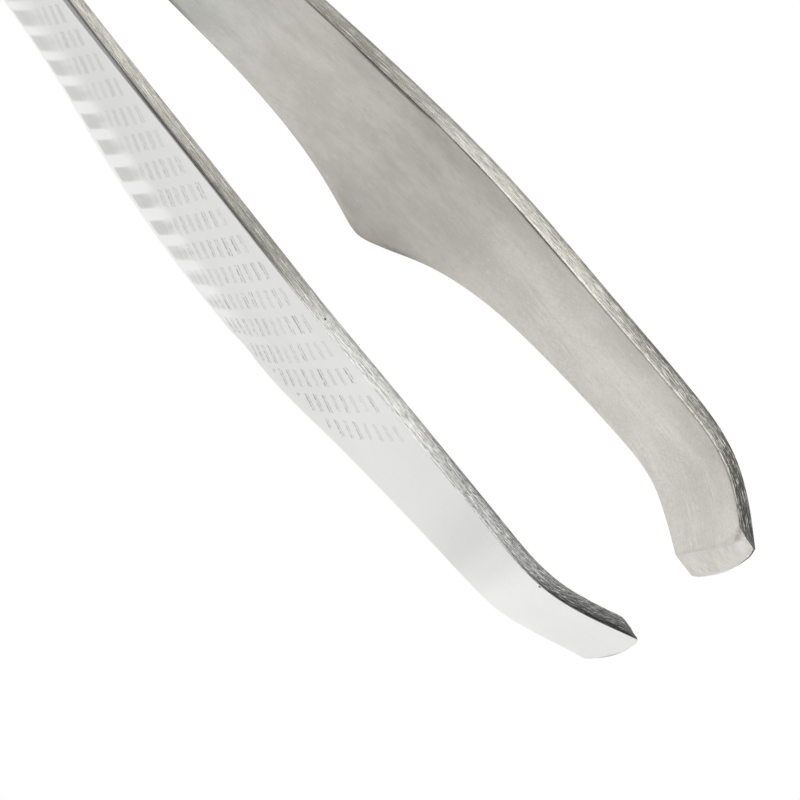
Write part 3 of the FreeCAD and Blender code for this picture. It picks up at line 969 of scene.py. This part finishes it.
# ------------------------------------------------------------------ heel seam weld
def make_seam():
    """Flush bead in the V between the blade ends, with faint ripples left in its face."""
    rings, face_points = 90, 15
    spread = [-1 + 2 * i / (face_points - 1) for i in range(face_points)]
    verts = []
    for share in np.linspace(-1, 1, rings):
        z = share * (BEAD_HALF_Z - 0.02)
        past = max(abs(z) - (HEEL_HALF_W - HEEL_CORNER_R), 0.0)
        front = HEEL_CORNER_R - math.sqrt(max(HEEL_CORNER_R ** 2 - past ** 2, 0.0))
        taper = 0.55 + 0.45 * math.sqrt(max(1 - abs(share) ** 10, 0.0))
        half = (BEAD_HALF_Y - 0.01) * max(1 - front / BEAD_DEPTH, 0.05) * taper
        for y in spread:
            ripple = 0.010 * (0.5 + 0.5 * math.sin(z * 21.0 + 1.6 * y * y)) + 0.012 * y * y
            verts.append((front + 0.004 + ripple, half * y, z))
        for y in spread[-2:0:-1]:
            root = front + (BEAD_DEPTH - 0.03 - front) * (1 - abs(y)) + 0.012
            verts.append((max(root, front + 0.03), half * y * 0.985, z))
    size = 2 * face_points - 2
    quads = ring_quads(rings, size)
    caps = [tuple(range(size - 1, -1, -1)), tuple((rings - 1) * size + i for i in range(size))]
    verts = np.array(verts) * MM
    ob = mesh_object("seam_weld", verts.tolist(), quads + caps)
    turn_outward(ob.data, verts, quads)
    ob.data.polygons.foreach_set("use_smooth", [True] * len(quads + caps))
    ob.data.materials.append(WELD)
    return ob


seam = make_seam()
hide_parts("heel_seam_weld")
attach(seam, "heel")

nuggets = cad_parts["spot_weld_nuggets"]
nuggets.data.materials.clear()
nuggets.data.materials.append(WELD)

# ------------------------------------------------------------------ stage, in metres
FLOOR_Z = -5.22 * MM
FLOOR_HALF = 1.5
WHITE = (1, 1, 1, 1)


def make_floor():
    """Floor that the camera sees as pure white, and that lights the blades as a pale glow."""
    corners = ((-1, -1), (1, -1), (1, 1), (-1, 1))
    floor = mesh_object("floor", [(x * FLOOR_HALF, y * FLOOR_HALF, FLOOR_Z) for x, y in corners],
                        [(0, 1, 2, 3)])
    material = bpy.data.materials.new("pale_floor")
    net = Net(material)
    fine = net.noise(net.coordinates("Object"), scale=900.0, detail=2.0, rough=0.5)
    colour = net.mix(net.ramp(fine, over=(0.3, 0.7)), (0.28, 0.28, 0.28, 1),
                     (0.31, 0.31, 0.31, 1))
    lit = net.node("ShaderNodeAddShader")
    net.put(lit.inputs[0], net.shader("ShaderNodeBsdfDiffuse", Color=colour))
    net.put(lit.inputs[1], net.shader("ShaderNodeEmission", Color=WHITE, Strength=0.74))
    seen = net.shader("ShaderNodeEmission", Color=WHITE, Strength=1.0)
    net.output("ShaderNodeOutputMaterial",
               net.mix_shaders(net.camera_ray(), lit.outputs[0], seen))
    floor.data.materials.append(material)


def make_world():
    """Soft tent, white to the camera: bright at +Y and dark on the camera's side, at -Y."""
    world = bpy.data.worlds.new("studio")
    bpy.context.scene.world = world
    net = Net(world)
    split = net.node("ShaderNodeSeparateXYZ")
    net.put(split.inputs[0], net.coordinates("Generated"))
    x, y, z = split.outputs
    tent = net.mul(net.ramp(y, over=(-0.02, 0.55), to=(0.06, 1.05)),
                   net.ramp(x, over=(0.12, 0.60), to=(1.0, 0.25)))
    # a small softbox beside the camera brightens the long sharp corners, where the edge material
    # also paints a thin glint
    box_x = net.ramp(net.math("ABSOLUTE", net.add(x, 0.08)), over=(0.10, 0.24), to=(1.0, 0.0))
    box_y = net.ramp(y, over=(-0.45, -0.25), to=(1.0, 0.0))
    box_z = net.ramp(z, over=(-0.05, 0.08))
    box = net.mul(net.mul(box_x, box_y), box_z)
    light = net.shader("ShaderNodeBackground", Color=(1.0, 1.0, 0.99, 1),
                       Strength=net.scaled(box, by=1.5, plus=tent))
    seen = net.shader("ShaderNodeBackground", Color=WHITE)
    net.output("ShaderNodeOutputWorld", net.mix_shaders(net.camera_ray(), light, seen))


def make_softbox():
    location, target = Vector((-0.05, 0.42, 0.60)), Vector((0.07, 0.0, 0.0))
    light = bpy.data.lights.new("softbox_back", "AREA")
    light.shape = "RECTANGLE"
    light.size = light.size_y = 0.30
    light.energy = 0.35
    light.color = (1, 1, 1)
    ob = bpy.data.objects.new("softbox_back", light)
    bpy.context.scene.collection.objects.link(ob)
    ob.location = location
    ob.rotation_mode = "QUATERNION"
    ob.rotation_quaternion = (target - location).to_track_quat("-Z", "Y")


def make_camera():
    """Long lens that looks down at the tip from -Y."""
    distance, view_width, sensor_width = 0.70, 0.040, 36.0
    right = Vector((0.64561, 0.66898, 0.36844)).normalized()
    back = Vector((0.1083, -0.5578, 0.8229)).normalized()
    up = back.cross(right).normalized()
    right = up.cross(back).normalized()
    centre = (Vector((77.69, 0.0, -5.23)) + right * 0.032 + up * 0.030) * MM
    camera = bpy.data.cameras.new("camera")
    camera.sensor_width = sensor_width
    camera.lens = sensor_width * distance / view_width
    camera.clip_start, camera.clip_end = 0.01, 20.0
    ob = bpy.data.objects.new("camera", camera)
    bpy.context.scene.collection.objects.link(ob)
    ob.matrix_world = Matrix((
        (right.x, up.x, back.x, centre.x + back.x * distance),
        (right.y, up.y, back.y, centre.y + back.y * distance),
        (right.z, up.z, back.z, centre.z + back.z * distance),
        (0, 0, 0, 1)))
    bpy.context.scene.camera = ob


make_floor()
make_world()
make_softbox()
make_camera()
bpy.context.scene.view_settings.view_transform = "Standard"
bpy.context.scene.view_settings.look = "None"
